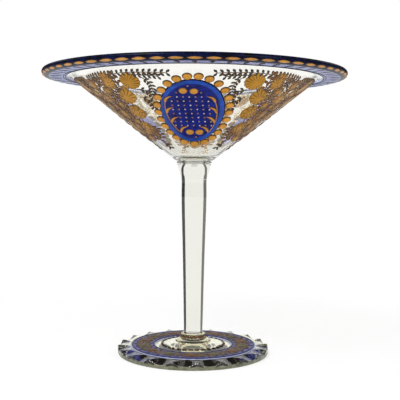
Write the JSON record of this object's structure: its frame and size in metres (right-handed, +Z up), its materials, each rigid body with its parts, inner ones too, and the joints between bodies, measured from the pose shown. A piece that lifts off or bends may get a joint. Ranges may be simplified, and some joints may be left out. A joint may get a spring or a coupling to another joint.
{
  "type": "footed glass dish",
  "caption": "Wide cone-shaped clear glass dish with a level lip, on a tall facet-cut stem and a scallop-cut round foot, with blue enamel medallions and raised gilding.",
  "frame": {"origin": "centre of the foot's underside, on the surface it stands on", "axes": "+Z up along the stem, -Y the front, where one medallion faces the viewer"},
  "size_m": [0.2336, 0.2336, 0.2185],
  "materials": {
    "clear_glass": "clear, polished, a faint straw tint",
    "dark_blue_enamel": "glossy opaque enamel with gold ovals on it",
    "bright_blue_enamel": "glossy opaque enamel, edged with gold beads",
    "pale_blue_enamel": "satin translucent enamel",
    "raised_gilding": "raised paste covered with worn matt gold"
  },
  "bodies": {
    "root": {"foot": "clear_glass", "foot_knop": "clear_glass", "stem": "clear_glass", "bowl_wafer": "clear_glass", "bowl": "clear_glass", "rim_edge_enamel": "dark_blue_enamel", "rim_band_enamel": "pale_blue_enamel", "medallion_1": "bright_blue_enamel", "medallion_2": "bright_blue_enamel", "medallion_3": "bright_blue_enamel", "gilt_spray_1": "raised_gilding", "gilt_spray_2": "raised_gilding", "gilt_spray_3": "raised_gilding", "foot_band_enamel": "pale_blue_enamel"}
  },
  "joints": []
}
